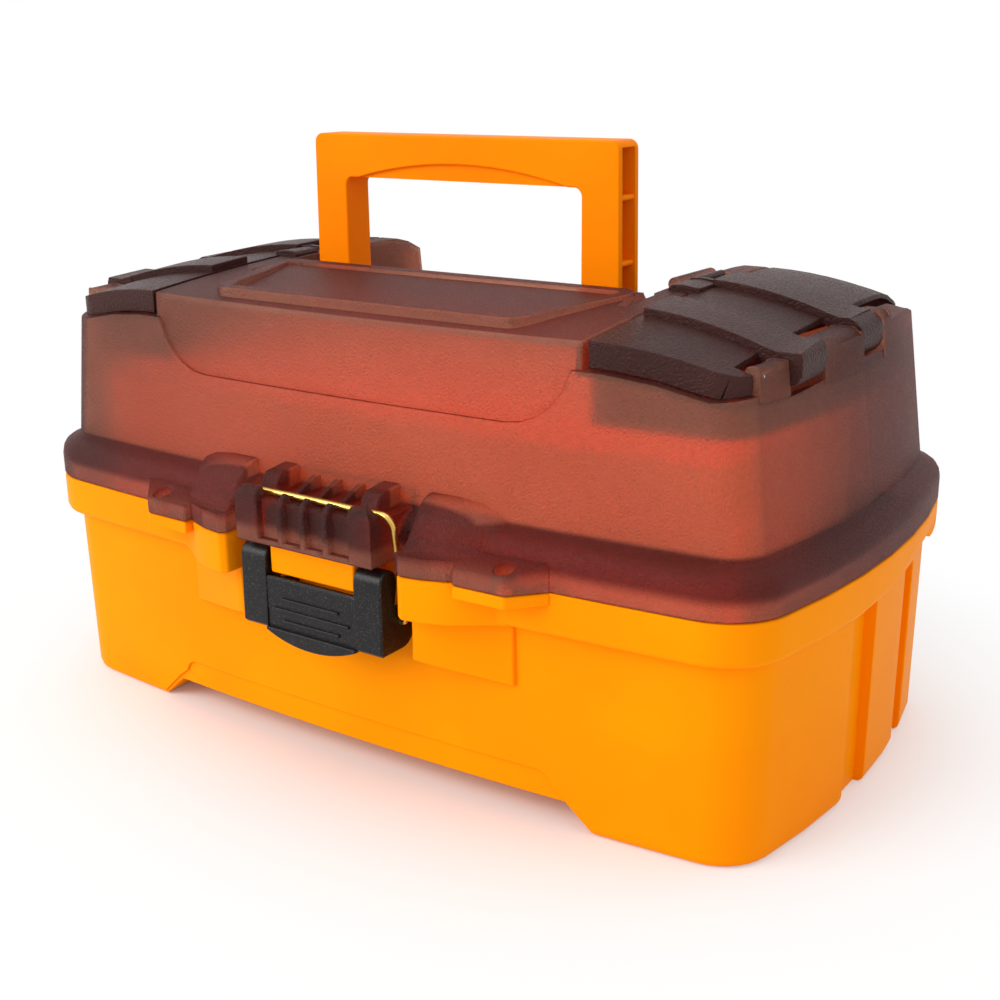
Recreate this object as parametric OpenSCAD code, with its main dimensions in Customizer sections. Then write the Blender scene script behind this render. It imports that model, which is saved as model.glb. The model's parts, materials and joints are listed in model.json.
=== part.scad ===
// Two-tray fishing tackle box. Millimetres, +X right, +Y back, +Z up.
// Origin: centre of the footprint, on the surface that the feet rest on.

/* [Case] */
// Width over the parting flange
case_w = 413; // [405:1:421]
// Flange front edge, ahead of the origin
case_front = 117.2; // [114:0.1:120]
// Flange rear edge, behind the origin
case_back = 108; // [107:0.5:109]
// Height of the parting plane
rim_z = 107; // [106:0.5:108]
// Bow of the front wall, over half the width
front_bow = 11; // [8:0.5:13]
// Bow of each end wall, over half the depth
side_bow = 17.6; // [14:0.1:20]
// Corner radius of the flange in plan
corner_r = 30; // [28:0.5:33]
// Wall thickness of the moulded shells
wall = 2.4; // [2:0.1:2.6]

/* [Lid] */
// Highest point of the crowned top
crown_z = 211; // [210:0.5:212]
// Where the crown peaks, behind the origin
crown_y = 45; // [40:1:50]
// Radius of the crown, front to back
crown_r = 1310; // [1200:10:1400]
// Half width of the centre panel between the two top doors
panel_half_w = 115; // [114:0.5:116]
// Height of the floor in the two top compartments
top_bin_floor_z = 172; // [171:0.5:173]

/* [Motion] */
// Length of the tray arms between pivots
arm_len = 96; // [92:1:98]
// Rise of the closed arms above level
arm_rest = 8; // [6:0.5:10]
// Radial clearance of every running fit
fit = 0.05; // [0.02:0.01:0.08]

/* [Trays] */
// Front edge of the trays, ahead of the origin
tray_front = 90; // [88:0.5:91]
// Rear edge of the trays, behind the origin
tray_back = 42; // [40:0.5:43]
// Half length of the trays
tray_half_l = 170.5; // [169:0.5:171]
// Wall thickness of the trays
tray_wall = 1.8; // [1.6:0.1:2]

/* [Handle] */
// Height of the raised handle's top
handle_top_z = 271; // [268:1:273]
// Half width of the handle
handle_half_w = 84.5; // [83:0.5:85]

/* [Hidden] */

$fn = 64;
ORANGE = [1, 0.58, 0.02];
SMOKE = [0.42, 0.16, 0.14];
DARK = [0.22, 0.18, 0.18];

// ---- plan outline: bowed front and ends, straight back, round corners ----
front_r = (pow(case_w / 2, 2) + pow(front_bow, 2)) / (2 * front_bow);
front_c = [0, front_r - case_front];
side_half_d = 117;
side_r = (pow(side_half_d, 2) + pow(side_bow, 2)) / (2 * side_bow);
side_c = [case_w / 2 - side_r, 0];
front_n = 5;
corner_n = 7;
side_n = 6;

// Angle of p seen from a, counted from -Y towards +X
function bearing(a, p) = atan2(p.x - a.x, a.y - p.y);

// Centre of a corner arc that touches the front and the end arc from inside
function front_corner(f, s, r) =
    let (ra = front_r - f - r, rb = side_r - s - r, ab = side_c - front_c,
         d = norm(ab), u = ab / d, t = (ra * ra - rb * rb + d * d) / (2 * d),
         h = sqrt(ra * ra - t * t))
    front_c + t * u + h * [-u.y, u.x];

// Centre of a corner arc that touches the end arc and the straight back
function back_corner(b, s, r) =
    let (y = case_back - b - r, rs = side_r - s - r)
    [side_c.x + sqrt(rs * rs - y * y), y];

function arc(c, r, a0, a1, n, first = 0, last = 0) =
    [for (i = [first : n - last]) let (a = a0 + (a1 - a0) * i / n)
        c + r * [sin(a), -cos(a)]];

// Right half of the outline, from the middle of the front to the back
function half_outline(f, s, b, r) =
    let (fc = front_corner(f, s, r), bc = back_corner(b, s, r),
         a1 = bearing(front_c, fc), a2 = bearing(side_c, fc), a3 = bearing(side_c, bc))
    concat(arc(front_c, front_r - f, 0, a1, front_n, 0, 1),
           arc(fc, r, a1, a2, corner_n),
           arc(side_c, side_r - s, a2, a3, side_n, 1, 1),
           arc(bc, r, a3, 180, corner_n));

// The whole outline set in by f at the front, s at the ends and b at the back
function outline(f, s, b, r) =
    let (h = half_outline(f, s, b, r), n = len(h))
    concat(h, [for (i = [n - 1 : -1 : 1]) [-h[i].x, h[i].y]]);

// An even inset: the corner radius shrinks with it
function inset(d) = outline(d, d, d, max(corner_r - d, 8));

function at_z(points, z) = [for (p = points) [p.x, p.y, z]];

// A closed solid through rings of points, lowest ring first
module loft(rings) {
    n = len(rings[0]);
    last = len(rings) - 1;
    sides = [for (k = [0 : last - 1], i = [0 : n - 1])
        let (j = (i + 1) % n, a = k * n + i, b = k * n + j) [a, a + n, b + n]];
    rest = [for (k = [0 : last - 1], i = [0 : n - 1])
        let (j = (i + 1) % n, a = k * n + i, b = k * n + j) [a, b + n, b]];
    polyhedron([for (ring = rings) each ring],
               concat(sides, rest, [[for (i = [0 : n - 1]) i]],
                      [[for (i = [n - 1 : -1 : 0]) last * n + i]]), convexity = 6);
}

module both_sides() {
    children();
    mirror([1, 0, 0]) children();
}

module block(x0, x1, y0, y1, z0, z1) {
    translate([x0, y0, z0]) cube([x1 - x0, y1 - y0, z1 - z0]);
}

// A cylinder along X between two stations
module rod_x(x0, x1, y, z, r) {
    translate([x0, y, z]) rotate([0, 90, 0]) cylinder(r = r, h = x1 - x0);
}

// A cylinder along Y between two stations
module rod_y(y0, y1, x, z, r) {
    translate([x, y0, z]) rotate([-90, 0, 0]) cylinder(r = r, h = y1 - y0);
}

// A prism along X whose section is given as [y, z]
module prism_x(x0, x1, section) {
    translate([x0, 0, 0]) rotate([90, 0, 90]) linear_extrude(x1 - x0) polygon(section);
}

// A prism along Y whose section is given as [x, z]
module prism_y(y0, y1, section) {
    translate([0, y1, 0]) rotate([90, 0, 0]) linear_extrude(y1 - y0) polygon(section);
}

// ---- crowned top ----
end_fall_r = 195;
rear_roll = [62, 45];
shelf_drop = 10.8;
shelf_reach = 52;

// Height of the top skin; past `reach` from the centre panel it stops falling
function crown(x, y, reach = 100) =
    let (out = min(reach, max(0, abs(x) - panel_half_w)), roll = max(0, y - rear_roll[0]))
    crown_z - pow(y - crown_y, 2) / (2 * crown_r) - pow(roll, 2) / (2 * rear_roll[1])
    - pow(out, 2) / (2 * end_fall_r);

// Height of the shelf round the top compartments, which the doors close on
function shelf(x, y) = crown(x, y, shelf_reach) - shelf_drop;

// A solid between two surfaces given as functions of x and y
module sheet(x0, x1, y0, y1, low, high, nx = 8, ny = 12) {
    xs = [for (i = [0 : nx]) x0 + (x1 - x0) * i / nx];
    ys = [for (j = [0 : ny]) y0 + (y1 - y0) * j / ny];
    m = ny + 1;
    top = [for (x = xs, y = ys) [x, y, high(x, y)]];
    bottom = [for (x = xs, y = ys) [x, y, low(x, y)]];
    o = len(top);
    edge = concat([for (j = [0 : ny - 1]) j], [for (i = [0 : nx - 1]) i * m + ny],
                  [for (j = [ny : -1 : 1]) nx * m + j], [for (i = [nx : -1 : 1]) i * m]);
    n = len(edge);
    cells = [for (i = [0 : nx - 1], j = [0 : ny - 1]) i * m + j];
    polyhedron(concat(top, bottom), concat(
        [for (a = cells) [a, a + 1, a + m]],
        [for (a = cells) [a + 1, a + m + 1, a + m]],
        [for (a = cells) [o + a, o + a + m, o + a + 1]],
        [for (a = cells) [o + a + 1, o + a + m, o + a + m + 1]],
        [for (k = [0 : n - 1]) let (a = edge[k], b = edge[(k + 1) % n]) [a, o + a, b]],
        [for (k = [0 : n - 1]) let (a = edge[k], b = edge[(k + 1) % n]) [b, o + a, o + b]]),
        convexity = 6);
}

// ---- linkage: every arm is parallel to the line from the lid hinge to the link pin ----
hinge = [112.5, rim_z];
rear_pivot = [76, 98];
front_pivot = [24, 78];
arm_step = arm_len * [-cos(arm_rest), sin(arm_rest)];
upper_rear = rear_pivot + arm_step;
upper_front = front_pivot + arm_step;
lower_rear = rear_pivot + arm_step / 2;
lower_front = front_pivot + arm_step / 2;
link_pin = hinge + arm_step;
lug_x = [171.3, 174.6];
arm_x = [175.2, 178.7];
link_x = [179.2, 182.2];
pin_r = 2;
rivet_r = 3.75;
rivet_t = 1.1;
lug_r = 6.5;

// ---- base ----
seam = 0.4;
base_top = rim_z - seam;
band_z = 88;
floor_t = 2.6;
arch_z = 11.4;
arch_half = 112;
arch_back = 68;
foot_slope = 13;
front_in = [7.6, 8.8];
end_in = [5.2, 6];
cheek = [[47.6, -100], [47.6, -129.6], [50.5, -131.6], [60, -130.2], [70, -126.6],
         [78, -121.4], [86, -115.8], [96, -111], [112, -106], [112, -100]];
tab = [[74, -112], [74, -128.6], [98.6, -127.8], [110.6, -114.6], [110.6, -106]];
padlock = [94.7, -121.6];
padlock_r = 4.3;
pad = [[47.6, -104], [47.6, -121.2], [51, -121.2], [64, -117.6], [78, -112.9], [90, -109.1], [90.6, -104]];
pad_low_z = [66, 60];
bay_half = 47.6;
lever_pivot = [-123.5, 99];
lever_pin_r = 1.5;

// A flute in the end wall, open at the foot
module groove(y0, y1, top_z, deep) {
    block(case_w / 2 - deep, case_w / 2 + 20, y0, y1, -1, top_z);
}

module side_grooves(extra) {
    both_sides() {
        groove(-23 - extra, 0 + extra, 87 + extra, 10.4 + extra);
        groove(42 - extra, 57 + extra, 85 + extra, 13.4 + extra);
    }
}

// The raised middle of the underside, with sloping ends; a rail at the back joins the feet
module arch(z, grow) {
    foot = arch_half + foot_slope + grow;
    prism_y(-160, arch_back + grow, [[-foot, -20], [foot, -20], [foot, 0], [arch_half + grow, z],
                        [-arch_half - grow, z], [-foot, 0]]);
}

// A shallow panel above the arch, sunk into the front wall
module arch_panel() {
    difference() {
        translate([0, -94, 0]) rotate([90, 0, 0]) linear_extrude(30) {
            difference() {
                polygon([[-128, -1], [128, -1], [113, 13], [105, 19], [-105, 19], [-113, 13]]);
                translate([-150, -3]) square([300, 2]);
            }
            translate([-99, 12]) square([198, 12]);
            for (x = [-99, 99]) translate([x, 17]) circle(r = 7);
        }
        translate([front_c.x, front_c.y, -2]) cylinder(r = front_r - front_in[1] - 1.1, h = 40, $fn = 256);
    }
}

// A level of the base: k runs from 0 at the flange to 1 at the foot
function base_ring(z, k, extra, r = corner_r - 5) =
    let (f = front_in[0] + (front_in[1] - front_in[0]) * k, e = end_in[0] + (end_in[1] - end_in[0]) * k)
    at_z(outline(f + extra, e + extra, e + extra, r - extra), z);

// A ring whose level climbs by h from the middle of the ends to the back
function climbing(points, z, h) =
    [for (p = points) [p.x, p.y, z + h * min(1, max(0, (p.y + 10) / 50))]];

function base_rings() = [
    base_ring(0, 1, 2.2), base_ring(1.4, 1, 0.7), base_ring(3.6, 1, 0),
    base_ring(band_z - 0.6, 0, 0), climbing(inset(2.6), band_z, 7), climbing(inset(0.8), band_z + 1, 8),
    climbing(inset(0), band_z + 3.4, 8), at_z(inset(0), base_top)];

function base_cavity_rings() = [
    base_ring(floor_t, 1, wall + 2), base_ring(floor_t + 3, 1, wall),
    base_ring(band_z + 2, 0, wall), at_z(inset(wall), band_z + 4.8),
    at_z(inset(wall), rim_z + 1)];

// Recess of the front wall behind the latch, grown inwards by g
module latch_bay(g) {
    prism_x(-bay_half - g, bay_half + g, [[-140, 52], [-112, 52], [-109 + g, 58 - g],
                                          [-106.8 + g, 70 - g], [-106.8 + g, 130], [-140, 130]]);
}

module base_knuckles() {
    for (x = [-135, -85, 85, 135]) {
        rod_x(x - 9.7, x + 9.7, hinge.x, hinge.y, 4.4);
        prism_x(x - 9.7, x + 9.7, [[104, 92], [108.1, 92], [116.4, 104], [116.4, 107],
                                   [108.1, 107], [108.1, base_top], [104, base_top]]);
    }
}

// Wedge-shaped pad under each flange bulge; its lower edge drops outwards
module pad_block() {
    drop = pad_low_z[0] - pad_low_z[1];
    difference() {
        translate([0, 0, pad_low_z[1]]) linear_extrude(band_z + 1 - pad_low_z[1]) polygon(pad);
        prism_y(-125, -100, [[40, 50], [100, 50], [100, pad_low_z[1]], [90, pad_low_z[1]],
                             [50, pad_low_z[0]], [40, pad_low_z[0]]]);
    }
}

module base_tub() color(ORANGE) {
    difference() {
        union() {
            difference() {
                loft(base_rings());
                arch(arch_z, 0);
                side_grooves(0);
                arch_panel();
                latch_bay(0);
                difference() {
                    loft(base_cavity_rings());
                    arch(arch_z + floor_t, floor_t);
                    side_grooves(wall);
                    latch_bay(wall);
                }
            }
            // bulged flange beside the latch, padlock tab and pad below it
            both_sides() {
                translate([0, 0, band_z]) linear_extrude(base_top - band_z) polygon(cheek);
                translate([0, 0, base_top - 5.4]) linear_extrude(5.4) polygon(tab);
                pad_block();
            }
            // block between the lever arms, which carries the lever's pin
            block(-23.4, 23.4, -127.8, -104, 93, base_top);
            // pivot bosses for the tray arms
            both_sides() {
                rod_x(179.3, 198, rear_pivot.x, rear_pivot.y, lug_r);
                rod_x(179.3, 199.4, front_pivot.x, front_pivot.y, lug_r);
            }
            base_knuckles();
        }
        both_sides() {
            rod_x(170, 190, rear_pivot.x, rear_pivot.y, pin_r + fit);
            rod_x(170, 190, front_pivot.x, front_pivot.y, pin_r + fit);
            translate([padlock.x, padlock.y, 90]) cylinder(r = padlock_r, h = 30);
        }
        rod_x(-30, 30, lever_pivot.x, lever_pivot.y, lever_pin_r + fit);
        rod_x(-150, 150, hinge.x, hinge.y, 1.5 + fit);
    }
}

// ---- lid ----
lid_foot_in = [10.4, 9.6];
panel_in = 2;
lid_corner_r = 18;

function lid_front_in(z) = lid_foot_in[0] + (z - 127) * 0.040;
function lid_side_in(z) = lid_foot_in[1] + (z - 127) * 0.122;
function lid_ring(z, extra) =
    at_z(outline(lid_front_in(z) + extra, lid_side_in(z) + extra, lid_side_in(z) + extra,
                 max(8, lid_corner_r - extra)), z);

function lid_wall_rings() = [
    at_z(inset(0), rim_z), at_z(inset(0), 117.6), at_z(inset(0.7), 120.8),
    at_z(inset(2.3), 123.4), at_z(inset(4.8), 125.2), at_z(inset(7.6), 126),
    lid_ring(127.6, 0), lid_ring(214, 0)];

function lid_cavity_rings() = [
    at_z(inset(wall), rim_z - 1), at_z(inset(wall), 117), at_z(inset(7.4), 122.4),
    lid_ring(125.6, wall), lid_ring(214, wall)];

bin_in = 24;
bin_x = [118, 178];
well = [-20.6, 184];
well_half_w = 102.6;
handle_pivot = [-9.5, 195];
ear_x = [86, 92];
frame_y = [-94, -23];
frame_half_w = [84, 99];
frame_top = [208, 0.042];

// Plan of a top compartment, grown by g
module bin_plan(g) {
    intersection() {
        polygon(outline(bin_in - g, bin_in - g, bin_in - g, 14));
        translate([bin_x[0] - g, -120]) square([100, 240]);
    }
}

// Plan of the raised rim on the front half of the centre panel, grown by g
module frame_plan(g) {
    r = 9;
    hull() {
        both_sides() {
            translate([frame_half_w[0] - r, frame_y[0] + r]) circle(r = r + g, $fn = 32);
            translate([frame_half_w[1] - r, frame_y[1] - r]) circle(r = r + g, $fn = 32);
        }
    }
}

module raised_frame() {
    difference() {
        intersection() {
            translate([0, 0, 199]) linear_extrude(20) frame_plan(0);
            prism_x(-panel_half_w, panel_half_w, [[frame_y[0], 199], [frame_y[1], 199],
                [frame_y[1], frame_top[0] + (frame_y[1] - frame_y[0]) * frame_top[1]],
                [frame_y[0], frame_top[0]]]);
        }
        translate([0, 0, 190]) linear_extrude(40) frame_plan(-6.5);
    }
}

// The proud lower wall dips in an S between the doors
module lower_wall_dip() {
    r = 30;
    low = 168.6;
    prism_y(-160, 160, concat(
        [for (a = [180 : 15 : 270]) [-panel_half_w + 3 + r + r * cos(a), low + r + r * sin(a)]],
        [for (a = [270 : 15 : 360]) [panel_half_w - 3 - r + r * cos(a), low + r + r * sin(a)]],
        [[panel_half_w - 3, 230], [3 - panel_half_w, 230]]));
}

module lid_outer() {
    difference() {
        intersection() {
            loft(lid_wall_rings());
            sheet(-208.75, 208.75, -125, 125, function(x, y) rim_z - 5,
                  function(x, y) shelf(x, y), 20, 20);
        }
        lower_wall_dip();
    }
    // shoulder behind the last hinge boss
    both_sides() intersection() {
        loft([lid_ring(150, 0), lid_ring(214, 0)]);
        sheet(shoulder_x, 206, boss_spans[2][1], 125, function(x, y) 180,
              function(x, y) crown(x, y, strap_reach) - 3.4, 4, 8);
    }
    // centre panel, set back from the lower wall
    intersection() {
        loft([lid_ring(140, panel_in), lid_ring(204, panel_in), lid_ring(216, panel_in + 4)]);
        sheet(-panel_half_w, panel_half_w, -125, 125, function(x, y) 130,
              function(x, y) crown(x, y), 2, 26);
    }
    raised_frame();
}

// Everything hollow under the lid's top skin
module lid_cavity() {
    difference() {
        intersection() {
            loft(lid_cavity_rings());
            union() {
                sheet(-208.75, 208.75, -125, 125, function(x, y) rim_z - 5,
                      function(x, y) shelf(x, y) - wall, 20, 20);
                sheet(wall - panel_half_w, panel_half_w - wall, -125, 125, function(x, y) 130,
                      function(x, y) crown(x, y) - wall, 2, 20);
            }
        }
        both_sides() {
            translate([0, 0, top_bin_floor_z - wall]) linear_extrude(60) bin_plan(wall);
            // seats of the door hinges and of the snap tongues
            block(170, 200, -100, 90, 182.2, 215);
            block(102, 118, -17, 46, 201.6, 215);
        }
        block(-well_half_w - wall, well_half_w + wall, well[0] - wall, 130, well[1] - wall, 220);
        lid_catch_core();
    }
}

// ---- latch catch on the lid ----
catch_half = 37.5;
catch_front = -133;
window_floor = -129.5;
catch_shelf = 126.6;
tooth_pitch = 12.5;
bail_bar = [-124.5, 128.6];
bail_r = 1.5;

// The part of the catch that passes through the lid's wall line
module lid_catch_core() {
    block(-catch_half, catch_half, -112, -100.6, rim_z, 134);
}

module catch_block() {
    difference() {
        union() {
            block(-catch_half, catch_half, window_floor, -104, rim_z, catch_shelf);
            block(-catch_half, catch_half, catch_front, -104, rim_z, rim_z + 2.6);
            both_sides() {
                // end blocks with rounded shoulders
                intersection() {
                    prism_x(catch_half - 12.5, catch_half, [[-112, rim_z], [catch_front, rim_z],
                        [catch_front, 127.4], [-132.2, 130.2], [-130, 131.8], [-127.4, 131.6],
                        [-126.4, 126], [-112, 126]]);
                    prism_y(-140, -90, concat([[20, 100], [catch_half, 100]],
                        [for (a = [0 : 15 : 90]) [catch_half - 6 + 6 * cos(a), 126 + 6 * sin(a)]],
                        [[20, 132]]));
                }
                // blocks behind the bail
                prism_x(catch_half - 14.5, catch_half - 5, [[-104, 120], [-122.6, 120],
                    [-122.6, 126], [-121, 132.4], [-118, 135.2], [-104, 136.6]]);
            }
            // teeth in front of the bail and gussets behind it
            for (x = [-tooth_pitch, 0, tooth_pitch]) {
                prism_x(x - 1.6, x + 1.6, [[-120, rim_z], [catch_front, rim_z], [catch_front, 124],
                    [-131, 128.4], [-127.8, 130.8], [-126.4, 127], [-120, 127]]);
                prism_x(x - 1.3, x + 1.3, [[-122, 120], [-122, 127.6], [-119, 129.6],
                    [-109, 133.6], [-104, 133.6], [-104, 120]]);
            }
        }
        // groove for the bail bar, and the hollow behind the windows
        rod_x(-60, 60, bail_bar.x, bail_bar.y - 0.1, bail_r + 0.5);
        block(-24.6, 24.6, -127.2, -109.5, rim_z - 1, 122.6);
    }
}

// Side humps on the flange and the bulged flange with its padlock tab
module lid_cheek() {
    translate([0, 0, rim_z]) linear_extrude(9) offset(r = 0.6) polygon(cheek);
    loft([hump_ring(112, -128.4, 86), hump_ring(116, -127.8, 86), hump_ring(117.8, -126, 86.4),
          hump_ring(119.6, -124, 86.8), hump_ring(122.6, -121.8, 87.2), hump_ring(127, -119.2, 87.2),
          hump_ring(131, -116.2, 85.6), hump_ring(133.8, -112.8, 82.4), hump_ring(135.4, -109, 77.6)]);
    // the tab's top slopes up to the flange
    intersection() {
        translate([0, 0, rim_z]) linear_extrude(20) polygon(tab);
        prism_x(70, 115, [[-135, 100], [-100, 100], [-100, 118.4], [-115.4, 118.4], [-135, 111.9]]);
    }
}

// Plan of the hump at one level, with its front edge at y and its outer end at w
function hump_ring(z, y, w) =
    at_z([[48.2, -86], [48.2, y + 1.4], [49.6, y], [w - 24, y + 0.8], [w - 15, y + 2.8],
          [w - 8, y + 6.6], [w - 3.6, y + 11], [w - 1, y + 16], [w, -86]], z);

// ---- door hinges on the ends of the lid ----
door_axis = [179.4, 193.6];
door_pin_r = 1.5;
knuckle_r = 9;
knuckle_low_z = 187.4;
shoulder_x = 172.4;
strap_1 = [-63.5, -39.5];
strap_2 = [-3, 20.5];
boss_spans = [[-83, -64.1, 197.6], [-38.9, -3.6, 200.6], [21.1, 31, 203]];
hinge_gap = 0.6;
door_x0 = 117.6;
door_front_in = 16.2;
door_side_in = 18.8;
door_back_y = 88;
door_t = 2.2;
strap_h = 3.2;
strap_reach = 62;
strap_skew = 6;
tongue_y = [-12, 9];
tongue_notch = [104.6, -13, 41, 204.4];

// Boss between the door's straps, with rounded shoulders and a rib at each end
module door_boss(span) {
    h = span[2];
    intersection() {
        union() {
            prism_y(span[0], span[1], [[174.4, 184], [200, 184], [200, h - 3], [187, h - 3],
                [186, h - 0.9], [184, h], [177.6, h], [175.4, h - 1], [174.4, h - 3]]);
            for (y = [span[0], span[1] - 1.6])
                prism_y(y, y + 1.6, [[174.2, h - 9.5], [200, h - 9.5], [200, h - 3], [187.2, h - 1.6],
                    [185.2, h + 0.1], [177.2, h + 0.1], [175, h - 0.4], [174.2, h - 2.4]]);
        }
        loft([for (z = [180, 206])
            at_z(outline(lid_front_in(z), lid_side_in(z) - 0.7, 10, lid_corner_r), z)]);
    }
}

// Room that the turning door needs below its hinge line
module hinge_sweep(y0, y1, r) {
    rod_y(y0, y1, door_axis.x, door_axis.y, r);
    prism_y(y0, y1, [[door_axis.x - r, door_axis.y], [door_axis.x + r, door_axis.y],
                     [door_axis.x + r, 215], [door_axis.x - r, 215]]);
}

module lid_knuckles() {
    for (x = [-110, 110]) {
        rod_x(x - 14.9, x + 14.9, hinge.x, hinge.y, 4.4);
        prism_x(x - 14.9, x + 14.9, [[104, rim_z], [112.5, rim_z], [116.4, 107.6], [116.4, 109.6],
                                     [108.1, 121], [104, 121]]);
    }
}

// Ear that holds the handle's pivot pin
module handle_ear() {
    prism_x(ear_x[0], ear_x[1], concat([[well[0] - 1, well[1] - 1]], [[4, well[1] - 1]],
        [for (a = [0 : 20 : 180]) [handle_pivot.x + 8 * cos(a), handle_pivot.y + 8 * sin(a)]],
        [[well[0] - 1, handle_pivot.y]]));
}

module lid_shell() color(SMOKE) {
    difference() {
        union() {
            difference() {
                union() {
                    difference() {
                        lid_outer();
                        // well that the folded handle lies in, open to the back
                        block(-well_half_w, well_half_w, well[0], 130, well[1], 230);
                        both_sides() {
                            for (s = [strap_1, strap_2])
                                hinge_sweep(s[0] - hinge_gap, s[1] + hinge_gap, knuckle_r + 2.2);
                            // V channel beside the frame, and the notch under the snap tongue
                            prism_y(-46, well[0] + 1, [[98.6, 216], [98.6, 209], [100.6, 205.6],
                                [103, 205.6], [104.8, 209], [104.8, 216]]);
                            block(tongue_notch[0], 120, tongue_notch[1], tongue_notch[2],
                                  tongue_notch[3], 220);
                        }
                    }
                    both_sides() lid_cheek();
                    lid_knuckles();
                }
                lid_cavity();
            }
            catch_block();
            both_sides() {
                for (s = boss_spans) door_boss(s);
                rod_x(182.8, 196.4, link_pin.x, link_pin.y, lug_r);
                handle_ear();
                // keeper roll that the snap tongue hooks behind
                rod_y(2, 38, 100.6, 209.8, 3.1);
                block(100.6, 104.6, 2, 38, 204, 210);
            }
        }
        both_sides() {
            translate([0, 0, top_bin_floor_z]) linear_extrude(22) difference() {
                bin_plan(0);
                for (s = boss_spans) translate([172, s[0]]) square([20, s[1] - s[0]]);
            }
            rod_x(176, 191, link_pin.x, link_pin.y, pin_r + fit);
            rod_y(-80.6, 30, door_axis.x, door_axis.y, door_pin_r + fit);
            rod_x(80, 100, handle_pivot.x, handle_pivot.y, 2.5 + fit);
            translate([padlock.x, padlock.y, 100]) cylinder(r = padlock_r, h = 30);
        }
        rod_x(-150, 150, hinge.x, hinge.y, 1.5 + fit);
    }
}

// ---- the two doors in the lid's top ----
module door_plan(g) {
    intersection() {
        polygon(outline(door_front_in - g, door_side_in - g, case_back - door_back_y - g, 15 + g));
        translate([door_x0 - g, -120]) square([100, 240]);
    }
}

module door_body() {
    difference() {
        intersection() {
            translate([0, 0, 165]) linear_extrude(60) door_plan(0);
            sheet(100, 206, -110, 110, function(x, y) shelf(x, y) + 0.4,
                  function(x, y) crown(x, y), 12, 26);
        }
        intersection() {
            translate([0, 0, 160]) linear_extrude(60) door_plan(-door_t);
            sheet(100, 206, -110, 110, function(x, y) shelf(x, y) - 4,
                  function(x, y) crown(x, y) - door_t, 12, 26);
        }
    }
}

// Strap across the door; it turns down over the lid's end, round its hinge pin
module door_strap(y0, y1) {
    x_in = door_axis.x - knuckle_r;
    x_out = door_axis.x + knuckle_r;
    intersection() {
        union() {
            sheet(door_x0 + 0.8, x_out + 1, y0, y1 + strap_skew, function(x, y) crown(x, y) - door_t,
                  function(x, y) crown(x, y, strap_reach) + strap_h, 12, 2);
            prism_y(y0, y1, concat([[x_in, 196]],
                [for (a = [180 : 15 : 360]) [door_axis.x + knuckle_r * cos(a),
                    max(door_axis.y + knuckle_r * sin(a), knuckle_low_z)]], [[x_out, 198]]));
        }
        translate([0, 0, 180]) linear_extrude(40) polygon([[door_x0, y0 + strap_skew],
            [door_x0, y1 + strap_skew], [x_in, y1 + 0.5], [x_in, y1], [195, y1], [195, y0],
            [x_in, y0], [x_in, y0 + 0.5]]);
        prism_y(-90, 60, [[100, 180], [100, 220], [x_out - 6, 220], [x_out - 6, 203.4], [x_out - 3, 201.9],
                          [x_out - 0.8, 199.6], [x_out, 197.8], [x_out, 180]]);
    }
}

module right_door_solid() {
    difference() {
        union() {
            difference() {
                door_body();
                // stops short of the hinge bosses and of the straps' knuckles
                block(door_axis.x - knuckle_r, 200, boss_spans[0][0] - hinge_gap, 100, 170, 220);
                block(shoulder_x - 2.4, 200, boss_spans[2][1], 100, 170, 220);
            }
            for (s = [strap_1, strap_2]) door_strap(s[0], s[1]);
            // snap tongue over the centre panel's edge, with its pull bar
            prism_y(tongue_y[0], tongue_y[1], [[105.2, 205], [105.2, 210.8], [106.8, 212.2],
                [112, 212.6], [119.6, 211.6], [119.6, 205]]);
            prism_y(tongue_y[1] - 3, tongue_y[1], [[105.2, 204.8], [105.2, 211.4], [106.8, 212.8],
                [112, 213.2], [119.6, 212.4], [119.6, 204.8]]);
            prism_y(tongue_y[1] - 1, 36, [[105.2, 208.4], [105.2, 211.4], [106.4, 212.6],
                [107.8, 212.6], [109, 211.4], [109, 208.4]]);
        }
        rod_y(-100, 100, door_axis.x, door_axis.y, door_pin_r + fit);
    }
}

module right_top_door() color(DARK) right_door_solid();
module left_top_door() color(DARK) mirror([1, 0, 0]) right_door_solid();

module door_pins() {
    rod_y(-80, 29, door_axis.x, door_axis.y, door_pin_r);
}
module right_door_pins() color("silver") door_pins();
module left_door_pins() color("silver") mirror([1, 0, 0]) door_pins();

// ---- carrying handle: a channel open to its outer edge, with cross ribs ----
handle_y = [-18, -1];
handle_leg = 19;
handle_arch = [58, 251, 258.5];
handle_skin = 3;
handle_r = 4;

module handle_outline() {
    half = handle_half_w;
    inner = half - handle_leg;
    low = handle_pivot.y - 8.5;
    difference() {
        hull() {
            for (s = [-1, 1]) {
                translate([s * (half - 0.6 - handle_r), handle_top_z - handle_r])
                    circle(r = handle_r, $fn = 32);
                translate([s * (half + 0.6) - (s > 0 ? 1 : 0), low]) square([1, 1]);
            }
        }
        translate([-inner, low - 1]) square([2 * inner, handle_arch[1] - handle_r - low + 1]);
        translate([handle_r - inner, low]) square([2 * inner - 2 * handle_r, handle_arch[1] - low]);
        for (x = [handle_r - inner, inner - handle_r])
            translate([x, handle_arch[1] - handle_r]) circle(r = handle_r, $fn = 32);
    }
}

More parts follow.
